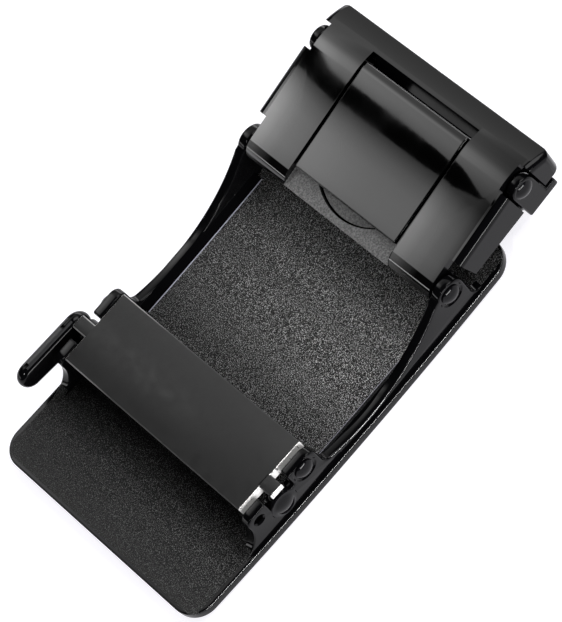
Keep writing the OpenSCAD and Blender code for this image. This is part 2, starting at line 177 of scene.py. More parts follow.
def add_panel(name, corners, strength, *levels):
    """A glowing studio panel with the given corners, which the camera sees in reflections alone.
    Its strength is multiplied by each of the levels: an axis, and stops of (place in millimetres,
    level) along it."""
    panel = add_mesh(name, corners, [list(range(len(corners)))], False)
    material = bpy.data.materials.new(name)
    material.use_nodes = True
    nodes, links = material.node_tree.nodes, material.node_tree.links
    nodes.clear()
    glow = add_node(nodes, "ShaderNodeEmission", {"Strength": strength})
    output = add_node(nodes, "ShaderNodeOutputMaterial", {})
    place = add_node(nodes, "ShaderNodeTexCoord", {})
    split = add_node(nodes, "ShaderNodeSeparateXYZ", {})
    join(links, (place.outputs["Object"], split.inputs[0]),
         (glow.outputs[0], output.inputs["Surface"]))
    total = None
    for axis, stops in levels:
        low, high = stops[0][0], stops[-1][0]
        share = add_range(nodes, low / 1000, high / 1000)
        ramp = add_ramp(nodes, [((at - low) / (high - low), level) for at, level in stops])
        product = add_node(nodes, "ShaderNodeMath", {1: strength}, "MULTIPLY")
        join(links, (split.outputs[axis], share.inputs["Value"]),
             (share.outputs[0], ramp.inputs["Fac"]), (ramp.outputs["Color"], product.inputs[0]))
        if total is not None:
            links.new(total, product.inputs[1])
        total = product.outputs[0]
        links.new(total, glow.inputs["Strength"])
    coat(panel, material)
    panel.visible_camera = False


# A wide soft light and a small key give the table and the level surfaces their even tone.
add_light("overhead", (420, -170, 520), 420, 2.8)
add_light("key", (-400, -260, 560), 50, 1.2)

# Two level panels behind the buckle are mirrored in the clamp. The dark gap between them closes at
# one side, so its mirrored band runs to a point.
panel_z = 345
left_panel = [(-112, 168), (-112, 284), (-70.3, 284), (-70.3, 207), (-68.8, 190), (-67.5, 176),
              (-67.5, 168)]
right_panel = [(-67.5, 160), (-67.5, 176), (-66, 192), (-64.8, 207), (-64.5, 245), (-61, 270),
               (-61, 340), (300, 340), (300, 160)]
add_panel("left_panel", [(x, y, panel_z) for x, y in left_panel], 6.5,
          ("X", [(-112, 0.0), (-102, 0.3), (-95, 0.75), (-88, 1.0), (-83, 1.0), (-79, 0.95),
                 (-75, 0.7), (-73, 0.5), (-70.6, 0.26), (-67.5, 0.25)]),
          ("Y", [(168, 0.1), (180, 0.3), (195, 0.4), (210, 0.43), (223, 0.46), (236, 0.53),
                 (250, 0.61), (262, 0.75), (284, 1.0)]))
add_panel("right_panel", [(x, y, panel_z) for x, y in right_panel], 5.6,
          ("X", [(-67.5, 0.3), (-62, 0.75), (-45, 0.9), (-10, 0.95), (20, 0.85), (50, 0.6),
                 (80, 0.42), (130, 0.31), (200, 0.25), (300, 0.23)]),
          ("Y", [(160, 0.3), (170, 0.4), (185, 0.48), (207, 0.58), (220, 0.66), (233, 0.74),
                 (245, 0.9), (256, 1.05), (340, 1.05)]))

# Four upright cards, one on each side, give the rims and the steep faces their lights. The front
# card is bright at its foot alone, because the clamp's front slope mirrors what is above it.
add_panel("low_card", [(-160, -500, 60), (200, -500, 60), (200, -500, 108), (-160, -500, 108)],
          28.0)
add_panel("back_card", [(-60, 520, 190), (130, 520, 190), (130, 520, 325), (-60, 520, 325)], 3.0)
add_panel("left_card", [(-330, 60, 50), (-330, 520, 50), (-330, 520, 95), (-330, 60, 95)], 6.0,
          ("Z", [(50, 0.6), (95, 1.0)]))
add_panel("front_card", [(300, 20, 10), (300, 440, 10), (300, 440, 345), (300, 20, 345)], 5.5,
          ("Z", [(10, 1.0), (85, 1.0), (100, 0.115), (150, 0.125), (250, 0.16), (345, 0.196)]))
world = bpy.data.worlds.new("room")
world.use_nodes = True
world.node_tree.nodes["Background"].inputs["Color"].default_value = (0.95, 0.97, 1.0, 1.0)
world.node_tree.nodes["Background"].inputs["Strength"].default_value = 0.015
bpy.context.scene.world = world

# The face plate
# The plate and the two side walls are one zinc casting, plated black. Its face is bowed along the
# strap, its border is eased, and the bed that the strap slides on has a crisp sparkling grain.

plate_half_l, plate_half_w, plate_t, corner_r, bow_r = 31.25, 20.0, 1.6, 3.5, 450.0
top_rim, low_rim = 0.25, 0.35
bed_half_l, bed_half_w = 30.6, 19.3
lines_along, lines_across = 181, 121
# Levels of painted shade along X on the bed: low where the pawl and the clamp shield it and at the
# tail.
bed_shade_zones = ((-31, 0.44), (-24, 0.38), (-20, 0.18), (-17, 0.05), (-12, 0.25), (-5, 0.6), (3, 0.9),
             (13, 1.0), (19, 0.75), (26, 0.3), (31, 0.2))


def bow(x):
    """Rise of the bowed face: the height of a circle of radius bow_r above its lowest point."""
    return bow_r - np.sqrt(bow_r ** 2 - np.asarray(x, float) ** 2)


def face_plate():
    """Two skins over a grid of s along and v across. x = half length times s, and y = v times the
    half width that the round corners leave at x. Each skin drops by a quarter round as the distance
    to the border falls below the rim's radius, and both follow the bow."""
    def spread(n):
        """Grid lines from -1 to 1 that crowd towards both ends: 0.35 times the sine of an angle a
        that runs over half a turn, and 0.65 times a cubic of a that is flat at both ends."""
        a = np.linspace(-np.pi / 2, np.pi / 2, n)
        cubic = np.sign(a) * (1 - (1 - np.abs(a) / (np.pi / 2)) ** 3)
        return 0.35 * np.sin(a) + 0.65 * cubic

    def drop(r):
        """How far a quarter round of radius r lies below the skin."""
        return r - np.sqrt(r ** 2 - (r - np.minimum(inset, r)) ** 2)

    s, v = np.meshgrid(spread(lines_along), spread(lines_across), indexing="ij")
    x = plate_half_l * s
    into_corner = np.clip(np.abs(x) - (plate_half_l - corner_r), 0, corner_r)
    half_w = plate_half_w - corner_r + np.sqrt(np.maximum(corner_r ** 2 - into_corner ** 2, 0))
    y = half_w * v
    qx = np.abs(x) - (plate_half_l - corner_r)
    qy = np.abs(y) - (plate_half_w - corner_r)
    outside = np.hypot(np.maximum(qx, 0), np.maximum(qy, 0)) + np.minimum(np.maximum(qx, qy), 0)
    inset = np.maximum(corner_r - outside, 0)
    top = np.stack([x, y, bow(x) + plate_t - drop(top_rim)], -1)
    low = np.stack([x, y, bow(x) + drop(low_rim)], -1)
    i = np.arange(s.size).reshape(s.shape)
    quads = np.stack([i[:-1, :-1], i[1:, :-1], i[1:, 1:], i[:-1, 1:]], -1).reshape(-1, 4)
    rim = np.concatenate([i[:-1, 0], i[-1, :-1], i[:0:-1, -1], i[0, :0:-1]])
    following = np.roll(rim, -1)
    sides = np.stack([following, rim, rim + s.size, following + s.size], -1)
    faces = np.concatenate([quads, quads[:, ::-1] + s.size, sides])
    return np.concatenate([top.reshape(-1, 3), low.reshape(-1, 3)]), faces.tolist()


def casting_gloss(name, base=0.002, low=0.06, high=0.14, sheen=0.15):
    """Black plated casting: a thin gloss with faint unevenness and slow changes of sheen."""
    finish = add_finish(name, (base, base, base * 1.2), 0.15)
    finish.shader.inputs["Specular IOR Level"].default_value = sheen
    mapping, _, _ = grain(finish, 450, 4, 0.03, 0.0002)
    vary_roughness(finish, mapping, 160, low, high)
    return finish.material


def strap_bed():
    """The bed's grain: a fine noise, evened out by a second pattern of cells, stands up as bright
    specks on a dark ground. Painted shade: zones along X darken its colour and its sheen where the
    pawl and the clamp shield it and at the tail, and the colour runs from lighter at -Y to darker
    at +Y. On the tail a calm dark tone is mixed in."""
    finish = add_finish("strap_bed_grain_and_shade", (0.01, 0.01, 0.01), 0.3)
    nodes, shader = finish.nodes, finish.shader
    mapping, noise, relief = grain(finish, 8800, 1.2, 1.0, 0.0001)
    cells = add_node(nodes, "ShaderNodeTexVoronoi", {"Scale": 9800})
    cell_relief = add_node(nodes, "ShaderNodeBump", {"Strength": 0.7, "Distance": 0.00006})
    evened = add_node(nodes, "ShaderNodeMath", {1: -0.4, 2: 0.21}, "MULTIPLY_ADD")
    speck = add_node(nodes, "ShaderNodeMath", {}, "ADD")
    speck_tone = add_ramp(nodes, [(0.475, 0.0), (0.58, 0.012), (0.70, 0.64)])
    split = add_node(nodes, "ShaderNodeSeparateXYZ", {})
    # Painted shade: zones along X darken the specks and the sheen.
    start, end = bed_shade_zones[0][0], bed_shade_zones[-1][0]
    along = add_range(nodes, start / 1000, end / 1000)
    shade_zone = add_ramp(nodes, [((x - start) / (end - start), level) for x, level in bed_shade_zones])
    shaded_specks = add_node(nodes, "ShaderNodeVectorMath", {}, "MULTIPLY")
    # Painted shade: the colour runs from lighter at -Y to darker at +Y.
    across = add_range(nodes, -0.017, 0.017, 1.4, 0.7)
    shade_leaning = add_node(nodes, "ShaderNodeVectorMath", {}, "SCALE")
    calm = add_range(nodes, -0.030, -0.018, 0.65, 0.0)
    calmed = add_node(nodes, "ShaderNodeMix", {})
    calmed.data_type = "RGBA"
    share, shade_leaning_side, calm_side = calmed.inputs[0], calmed.inputs[6], calmed.inputs[7]
    calm_side.default_value = (0.032, 0.032, 0.032, 1.0)
    sheen = add_node(nodes, "ShaderNodeMath", {1: 0.3}, "MULTIPLY")
    join(finish.links, (mapping.outputs["Vector"], cells.inputs["Vector"]),
         (cells.outputs["Distance"], cell_relief.inputs["Height"]),
         (relief.outputs["Normal"], cell_relief.inputs["Normal"]),
         (cell_relief.outputs["Normal"], shader.inputs["Normal"]),
         (cells.outputs["Distance"], evened.inputs[0]),
         (evened.outputs[0], speck.inputs[0]),
         (noise.outputs[0], speck.inputs[1]),
         (speck.outputs[0], speck_tone.inputs["Fac"]),
         (mapping.outputs["Vector"], split.inputs[0]),
         (split.outputs["X"], along.inputs["Value"]),
         (along.outputs[0], shade_zone.inputs["Fac"]),
         (speck_tone.outputs["Color"], shaded_specks.inputs[0]),
         (shade_zone.outputs["Color"], shaded_specks.inputs[1]),
         (split.outputs["Y"], across.inputs["Value"]),
         (shaded_specks.outputs[0], shade_leaning.inputs[0]),
         (across.outputs[0], shade_leaning.inputs["Scale"]),
         (split.outputs["X"], calm.inputs["Value"]),
         (calm.outputs[0], share),
         (shade_leaning.outputs[0], shade_leaning_side),
         (calmed.outputs[2], shader.inputs["Base Color"]),
         (shade_zone.outputs["Color"], sheen.inputs[0]),
         (sheen.outputs[0], shader.inputs["Specular IOR Level"]))
    return finish.material


gloss_black = casting_gloss("casting_gloss")
# Painted highlight: a lighter, far shinier black for the rim faces that should show a bright line.
painted_highlight_rim = casting_gloss("painted_highlight_rim", base=0.01, low=0.2, high=0.3, sheen=2.0)
bed_grain_and_shade = strap_bed()
points, faces = face_plate()
plate = add_mesh("face_plate", points, faces)
coat(plate, gloss_black, bed_grain_and_shade, painted_highlight_rim)
centres = np.array([np.mean(points[face], 0) for face in faces])
on_top = np.arange(len(faces)) < (lines_along - 1) * (lines_across - 1)
on_bed = on_top & (np.abs(centres[:, 1]) < bed_half_w) & (np.abs(centres[:, 0]) < bed_half_l)
plate.data.polygons.foreach_set("material_index", on_bed.astype(int))
for face in plate.data.polygons:
    # The top rim's steeper half at the right side gets a painted highlight: a lighter, far shinier
    # finish.
    highlight_on_right_rim = 0.5 < face.normal.z < 0.75 and face.normal.y < -0.5
    if highlight_on_right_rim:
        face.material_index = 2
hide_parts("body")
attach(plate, "buckle")

# The side walls
# Each wall is a part of the casting: a hollow tail, a rear hump, the notch for the pawl's tab, a
# front hump, a long low saddle and the hinge ear. The rims are eased and the pins are countersunk.

wall_out, wall_in, wall_rim = 19.5, 18.0, 0.28
stop_x, stop_z = -7.05, 6.15
hinge_x, hinge_z = 21.75, 6.876
spring_x, spring_z = -15.65, 6.4


def arc(cx, cz, r, start, stop, n=12):
    """Points on a circle about (cx, cz), from one angle to another, in degrees."""
    a = np.radians(np.linspace(start, stop, n))
    return np.stack([cx + r * np.cos(a), cz + r * np.sin(a)], -1)


def wall_outline():
    """The wall seen from the side, as arcs and straights in X and Z."""
    return np.vstack([
        [(-21.5, 1.3)],
        arc(-21.5, 6.21, 4.1, -90, 0, 20),        # the hollow tail
        arc(-16.0, 6.7, 1.4, 180, 90),            # the rear hump
        arc(-14.05, 7.8, 0.3, 90, 0, 6),
        arc(-13.45, 5.9, 0.3, 180, 270, 6),       # the notch
        arc(-9.65, 5.9, 0.3, 270, 360, 6),
        arc(-9.05, 7.8, 0.3, 180, 90, 6),
        arc(-6.0, 6.7, 1.4, 90, 0),               # the front hump
        arc(-3.3, 4.417, 1.3, 180, 255.2),
        arc(3.0, 28.3, 26.0, 256.5, 308.5, 60),   # the saddle
        arc(hinge_x, hinge_z, 2.3, 146, 0, 28),   # the ear
        arc(25.55, 3.826, 1.5, 180, 270),
        [(25.55, 1.5), (0, 0.9)],
    ])


def tube(rings):
    """Points and faces of rings of points, each joined to the next, with a flat face at each
    end."""
    i = np.arange(rings[..., 0].size).reshape(rings.shape[:2])
    j = np.roll(i, -1, 1)
    quads = np.stack([i[:-1], i[1:], j[1:], j[:-1]], -1).reshape(-1, 4)
    return rings.reshape(-1, 3), quads.tolist() + [i[0].tolist(), i[-1][::-1].tolist()]


def slab(outline, y0, y1, rim, steps):
    """A closed outline in X and Z carried across from y0 to y1 with round rims. Each ring is the
    outline moved inwards by rim times (1 - sin a) and set in from the face by rim times
    (1 - cos a), with a from 0 to 90 degrees on each side; the inward way is the mitre of the two
    edges, which is held back at sharp corners."""
    p = np.asarray(outline, float)
    shortest, sharpest = 1e-4, 0.35
    p = p[np.hypot(*(p - np.roll(p, 1, 0)).T) > shortest]
    if np.sum(p[:, 0] * np.roll(p[:, 1], -1) - p[:, 1] * np.roll(p[:, 0], -1)) < 0:
        p = p[::-1]
    edge = np.roll(p, -1, 0) - p
    normal = np.stack([-edge[:, 1], edge[:, 0]], -1) / np.hypot(*edge.T)[:, None]
    before = np.roll(normal, 1, 0)
    mitre = (normal + before) / np.maximum(1 + np.sum(normal * before, 1), sharpest)[:, None]
    a = np.radians(np.linspace(0, 90, steps))
    inward = np.concatenate([rim * (1 - np.sin(a)), rim * (1 - np.sin(a[::-1]))])
    across = np.concatenate([y0 + rim * (1 - np.cos(a)), y1 - rim * (1 - np.cos(a[::-1]))])
    ring = p[None] + inward[:, None, None] * mitre[None]
    return tube(np.stack([ring[..., 0], np.broadcast_to(across[:, None], ring.shape[:2]),
                          ring[..., 1]], -1))


def lathe(profile, x, z, y, side, n=48):
    """A profile of radius and height turned about an axis along Y, standing out of a face at y on
    its side, + or -. The first and last points lie on the axis. The small first angle keeps turned
    shapes off the corners of the flat ones."""
    first_angle = 0.037
    r, h = np.asarray(profile, float).T
    a = np.linspace(0, 2 * np.pi, n, endpoint=False) + first_angle
    px = x + r[:, None] * np.cos(a)
    pz = z + r[:, None] * np.sin(a)
    py = np.broadcast_to(y + side * h[:, None], px.shape)
    i = np.arange(px.size).reshape(px.shape)
    j = np.roll(i, -1, 1)
    quads = np.stack([i[:-1], j[:-1], j[1:], i[1:]], -1).reshape(-1, 4)
    return np.stack([px, py, pz], -1).reshape(-1, 3), quads.tolist()


def together(*shapes):
    """The points and faces of several shapes as those of one."""
    start = np.cumsum([0] + [len(points) for points, _ in shapes])
    return np.vstack([points for points, _ in shapes]), [
        [k + base for k in face] for (_, faces), base in zip(shapes, start) for face in faces]


def tidy(piece):
    """Merges doubles, closes the poles and makes every face point outwards."""
    shape = bmesh.new()
    shape.from_mesh(piece.data)
    bmesh.ops.remove_doubles(shape, verts=shape.verts, dist=1e-7)
    bmesh.ops.dissolve_degenerate(shape, edges=shape.edges, dist=1e-8)
    bmesh.ops.recalc_face_normals(shape, faces=shape.faces)
    shape.to_mesh(piece.data)
    shape.free()
    return piece


def settle(piece):
    """Makes the mesh that a piece's modifiers give the piece's own, and takes them off."""
    seen = piece.evaluated_get(bpy.context.evaluated_depsgraph_get())
    shaped = bpy.data.meshes.new_from_object(seen)
    piece.modifiers.clear()
    piece.data = shaped


def carve(piece, *cutters):
    """Takes turned cutters, which don't touch each other, out of a piece in one step."""
    cutter = tidy(add_mesh("cutter", *together(*cutters)))
    modifier = piece.modifiers.new("carve", "BOOLEAN")
    modifier.operation = "DIFFERENCE"
    modifier.solver = "EXACT"
    modifier.object = cutter
    settle(piece)
    bpy.data.objects.remove(cutter)


def crisp(piece, angle=35):
    """Smooth shading that breaks at edges sharper than the angle."""
    piece.data.polygons.foreach_set("use_smooth", [True] * len(piece.data.polygons))
    piece.data.set_sharp_from_angle(angle=np.radians(angle))
    return piece


def mirrored(piece, name):
    """A copy of a piece on the other side of the plane Y = 0, with its faces turned outwards."""
    mesh = piece.data.copy()
    co = np.empty(3 * len(mesh.vertices))
    mesh.vertices.foreach_get("co", co)
    mesh.vertices.foreach_set("co", (co.reshape(-1, 3) * (1, -1, 1)).ravel())
    mesh.flip_normals()
    return put(name, mesh)


countersink = [(0, -0.2), (1.75, -0.2), (2.0, 0.05), (2.0, 0.6), (0, 0.6)]
spring_hole = [(0, -0.8), (0.75, -0.8), (0.75, -0.25), (1.0, 0.05), (1.0, 0.6), (0, 0.6)]
wall_shape = slab(wall_outline(), -wall_out, -wall_in, wall_rim, 6)
right_wall = tidy(add_mesh("side_wall_right", *wall_shape))
carve(right_wall, lathe(spring_hole, spring_x, spring_z, -wall_out, -1),
      lathe(countersink, stop_x, stop_z, -wall_out, -1),
      lathe(countersink, hinge_x, hinge_z, -wall_out, -1))
crisp(right_wall)
coat(right_wall, gloss_black, bed_grain_and_shade, painted_highlight_rim)
for face in right_wall.data.polygons:
    # The tail's upper face has the bed's grain and its painted shade, and the outer rim of the
    # saddle gets a painted highlight, a lighter and shinier finish.
    at, way = face.center * 1000, face.normal
    on_tail = at.x < -18.5 and at.z < 2.8 and way.z > 0.3
    highlight_on_rim = -3.5 < at.x < 19 and 0.45 < way.z < 0.8 and way.y < -0.5
    face.material_index = 1 if on_tail else 2 * highlight_on_rim
for wall in (right_wall, mirrored(right_wall, "side_wall_left")):
    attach(wall, "buckle")

# The inner feet of the walls
# Where each wall meets the bed, the casting has a sloping foot, whose small lip carries a painted
# highlight: a fine light grey line.

foot_back, foot_front, lip_y = -4.4, 18.8, 17.1
painted_highlight_lip = casting_gloss("painted_highlight_lip", base=0.35, low=0.2, high=0.3, sheen=0.5)


def foot(side):
    """A sloping strip: at each place along X its section runs from the wall down to the bed, with a
    small round lip at the bottom, and it follows the bow of the bed."""
    x = np.linspace(foot_back, foot_front, 60)
    section = np.array([(18.1, 1.1), (17.9, 0.95), (17.2, 0.16), (17.08, 0.07), (16.98, 0.03),
                        (16.94, -0.05), (18.1, -0.05)])
    size = (len(x), len(section))
    return tube(np.stack([np.broadcast_to(x[:, None], size),
                          np.broadcast_to(side * section[:, 0], size),
                          section[:, 1] + bow(x)[:, None] + plate_t], -1))


for side, name in ((1, "left"), (-1, "right")):
    strip = crisp(tidy(add_mesh("wall_foot_" + name, *foot(side))), 25)
    coat(strip, gloss_black, painted_highlight_lip)
    for face in strip.data.polygons:
        # The lip's upper faces carry the painted highlight line.
        face.material_index = int(abs(face.center.y) < lip_y / 1000 and face.normal.z > 0.2)
    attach(strip, "buckle")

# The pins
# Blackened steel pins with low domed heads: the stop pin crosses the strap's way under the pawl,
# two stub pins carry the clamp, and one pin crosses the clamp through the bracket's lugs.

flap_pin_x, flap_pin_z = 37.596, 10.244
shaft_end, stub_end, head_root = 19.4, 14.75, -0.15
pin_black = casting_gloss("pin_black", base=0.004, low=0.06, high=0.12)


def dome(r, h, root):
    """A domed head: a sphere's cap of radius r and height h on a short straight neck, whose root
    has the given height."""
    ball = (r * r + h * h) / (2 * h)
    a = np.linspace(np.arcsin(r / ball), 0, 14)
    cap = np.stack([ball * np.sin(a), ball * np.cos(a) - (ball - h)], -1)
    return np.vstack([[(0, root), (r, root)], cap])


def pin(name, x, z, shaft_r, y0, y1, heads, body, node):
    """A shaft from y0 to y1, and heads as (side, radius, height) on the walls' outer faces."""
    shaft = [(0, 0), (shaft_r, 0), (shaft_r, y1 - y0), (0, y1 - y0)]
    parts = [lathe(shaft, x, z, y0, 1)]
    parts += [lathe(dome(r, h, head_root), x, z, side * wall_out, side) for side, r, h in heads]
    piece = crisp(tidy(add_mesh(name, *together(*parts))), 40)
    coat(piece, pin_black)
    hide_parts(node)
    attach(piece, body)


pin("stop_pin_turned", stop_x, stop_z, 0.75, -shaft_end, shaft_end,
    ((-1, 1.45, 0.55), (1, 1.75, 0.9)), "buckle", "stop_pin")
pin("hinge_pin_left_turned", hinge_x, hinge_z, 1.0, stub_end, shaft_end,
    ((1, 1.6, 0.55),), "buckle", "hinge_pin_left")
pin("hinge_pin_right_turned", hinge_x, hinge_z, 1.0, -shaft_end, -stub_end,
    ((-1, 1.45, 0.55),), "buckle", "hinge_pin_right")
pin("flap_pin_turned", flap_pin_x, flap_pin_z, 0.6, -shaft_end, shaft_end,
    ((-1, 1.45, 0.55), (1, 1.6, 0.55)), "clamp", "flap_pin")

# The pawl plate
# Pressed from sheet steel and painted matt dark grey, then sheared at the sides, where the bare
# metal shows. Its tabs lie in the walls' notches, and its tooth is bent down at the front edge.

pawl_slope = -2.2
sheet_back, sheet_front, sheet_low, sheet_top = -9.45, 2.15, 0.8, 1.9
sheet_half_w, bare_top_half_w, sheet_cut, sheet_rim = 17.7, 17.3, 0.16, 0.12
tab_back, tab_front, right_tab_y, left_tab_y = -5.55, -3.45, (-19.5, -16.9), (17.5, 20.3)
tooth_outline = [(1.2, 0.9), (1.2, -1.65), (1.675, -1.65), (2.15, -1.15), (2.15, 0.9)]
tooth_half_w, tooth_rim = 8, 0.08


def sloped(outline):
    """Turns a section, drawn level about the stop pin's axis, by the pawl's slope."""
    c, s = np.cos(np.radians(pawl_slope)), np.sin(np.radians(pawl_slope))
    u, w = np.asarray(outline, float).T
    return np.stack([stop_x + c * u - s * w, stop_z + s * u + c * w], -1)


def sheet_outline(back, front):
    """The sheet's section from back to front: a rectangle whose two upper corners are cut off."""
    shoulder = sheet_top - sheet_cut
    return sloped([(back, sheet_low), (front, sheet_low), (front, shoulder),
                   (front - sheet_cut, sheet_top), (back + sheet_cut, sheet_top), (back, shoulder)])


def matt_grey_paint():
    """Even matt dark grey paint with a slight roughness."""
    finish = add_finish("matt_grey_paint", (0.022, 0.022, 0.022), 0.5)
    finish.shader.inputs["Specular IOR Level"].default_value = 0.3
    mapping, _, _ = grain(finish, 3500, 2, 0.14, 0.00006)
    vary_roughness(finish, mapping, 700, 0.42, 0.6)
    return finish.material


def sheared_steel():
    """Bright torn metal, with dark flecks where the noise is low."""
    finish = add_finish("sheared_steel", (0.98, 0.97, 0.95), 0.4, 0.5)
    mapping, noise, _ = grain(finish, 2600, 3, 0.5, 0.00006, (1, 1, 0.5))
    vary_roughness(finish, mapping, 900, 0.25, 0.5)
    tone = add_ramp(finish.nodes, [(0.34, 0.1), (0.40, (1.0, 0.99, 0.97))])
    join(finish.links, (noise.outputs[0], tone.inputs["Fac"]),
         (tone.outputs["Color"], finish.shader.inputs["Base Color"]))
    return finish.material


def painted_highlight_edge():
    """A painted highlight along the long edges: a lighter grey, lighter still towards the left end.
    """
    finish = add_finish("painted_highlight_edge", (0.3, 0.3, 0.29), 0.35, 0.4)
    mapping, _, _ = grain(finish, 2400, 3, 0.5, 0.00005)
    split = add_node(finish.nodes, "ShaderNodeSeparateXYZ", {})
    tone = add_range(finish.nodes, 0.008, 0.018, 0.035, 0.24)
    join(finish.links, (mapping.outputs["Vector"], split.inputs[0]),
         (split.outputs["Y"], tone.inputs["Value"]),
         (tone.outputs[0], finish.shader.inputs["Base Color"]))
    return finish.material


sheet = slab(sheet_outline(sheet_back, sheet_front), -sheet_half_w, sheet_half_w, sheet_rim, 4)
tab = sheet_outline(tab_back, tab_front)
right_tab = slab(tab, *right_tab_y, sheet_rim, 4)
left_tab = slab(tab, *left_tab_y, sheet_rim, 4)
tooth = slab(sloped(tooth_outline), -tooth_half_w, tooth_half_w, tooth_rim, 3)

# The shear left the right edge sloping, so the upper points of that side stand further in.
px, py, pz = sheet[0].T
height = pz - stop_z - np.tan(np.radians(pawl_slope)) * (px - stop_x)
py[(py < -17.4) & (height > 1.6)] *= bare_top_half_w / sheet_half_w
pawl = tidy(add_mesh("pawl_plate_pressed", *together(sheet, right_tab, left_tab, tooth)))
crisp(pawl, 50)
coat(pawl, matt_grey_paint(), sheared_steel(), painted_highlight_edge())
# Bare metal on the sheared sides, and a painted highlight on the front and rear edges.
for face in pawl.data.polygons:
    at, way = face.center * 1000, face.normal
    if abs(way.y) > 0.5 and abs(at.y) > 17:
        face.material_index = 1
    elif abs(way.x) > 0.3 and way.z > 0.3:
        face.material_index = 2
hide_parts("pawl_plate")
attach(pawl, "pawl")

# The right trunnion
# A round steel bush that lies in the right wall's seat and carries the pawl's tab. It is turned,
# blackened as the pins are, and its outer end is a low dome.

trunnion_x, trunnion_z, trunnion_r = -12.0, 4.4, 2.2
bush = [(0, -1.5), (trunnion_r, -1.5), (trunnion_r, 0.0), (2.1, 0.1)]
hub_profile = np.vstack([bush, dome(1.6, 0.43, 0)[1:] + (0, 0.1)])
hub_shape = lathe(hub_profile, trunnion_x, trunnion_z, -wall_out, -1)
hub = crisp(tidy(add_mesh("pawl_hub_turned", *hub_shape)), 40)
coat(hub, pin_black)
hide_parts("pawl_hub")
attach(hub, "pawl")

# The release lever
# A small zinc casting outside the left wall, polished and plated black, pushed on the pawl's tab.
# Its top has a flat strip between two square pits, and its neck is the left trunnion.

lever_in, lever_out, lever_rim = 20.3, 22.3, 0.95
pit_half, pit_depth, pit_y = 0.36, 0.6, 21.0


def capsule(x0, z0, r0, x1, z1, r1, n):
    """Two circles joined by their outer tangents, with n points on each."""
    away = np.degrees(np.arctan2(z1 - z0, x1 - x0))
    open_angle = np.degrees(np.arccos((r0 - r1) / np.hypot(x1 - x0, z1 - z0)))
    return np.vstack([arc(x0, z0, r0, away + open_angle, away + 360 - open_angle, n),
                      arc(x1, z1, r1, away - open_angle, away + open_angle, n)])


lever_outline = capsule(-12.2, 6.0, 2.3, -20.8, 6.9, 2.0, 40)
lever_shape = slab(lever_outline, lever_in, lever_out, lever_rim, 9)
lever = tidy(add_mesh("release_lever_cast", *lever_shape))
pit = [(0, 0), (pit_half, 0), (pit_half, pit_depth), (0, pit_depth)]
carve(lever, lathe(pit, -13.4, 8.3, pit_y, 1, 4), lathe(pit, -20.3, 8.95, pit_y, 1, 4))
crisp(lever, 50)
dull_strip = add_finish("lever_strip", (0.018, 0.018, 0.02), 0.35)
grain(dull_strip, 2600, 3, 0.4, 0.00006)
coat(lever, gloss_black, dull_strip.material)
for face in lever.data.polygons:
    at, way = face.center * 1000, face.normal
    on_strip = -20.2 < at.x < -13.5 and at.z > 7.5
    face.material_index = int(on_strip and abs(way.y) < 0.5 and way.z > 0.7)
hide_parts("release_lever")
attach(lever, "pawl")
neck_l = 2.6
neck_profile = [(0, 0), (trunnion_r, 0), (trunnion_r, neck_l), (0, neck_l)]
neck_shape = lathe(neck_profile, trunnion_x, trunnion_z, wall_in, 1)
neck = crisp(tidy(add_mesh("release_lever_neck", *neck_shape)), 40)
coat(neck, gloss_black)
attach(neck, "pawl")

# The clamp frame, bracket and flap
# Three zinc castings, polished and plated black: the frame turns on the stub pins and has a rough
# crossbar with a fingernail scoop, the bracket is held to it by the flap's pin, and the flap closes
# its window. They are the CAD solids with eased edges.


def eased(node, name, width, clamped):
    """The CAD solid with its flat faces merged and its edges rounded."""
    weld, flat_angle, edge_angle = 2e-6, np.radians(0.4), np.radians(30)
    piece = put(name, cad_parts[node].data.copy())
    shape = bmesh.new()
    shape.from_mesh(piece.data)
    bmesh.ops.remove_doubles(shape, verts=shape.verts, dist=weld)
    bmesh.ops.dissolve_limit(shape, angle_limit=flat_angle, verts=shape.verts, edges=shape.edges)
    for face in shape.faces:
        face.smooth = True
    shape.to_mesh(piece.data)
    shape.free()
    bevel = piece.modifiers.new("ease", "BEVEL")
    bevel.width = width / 1000
    bevel.segments = 5
    bevel.limit_method = "ANGLE"
    bevel.angle_limit = edge_angle
    bevel.use_clamp_overlap = clamped
    even = piece.modifiers.new("even", "WEIGHTED_NORMAL")
    even.weight = 100
    even.keep_sharp = False
    settle(piece)
    return piece


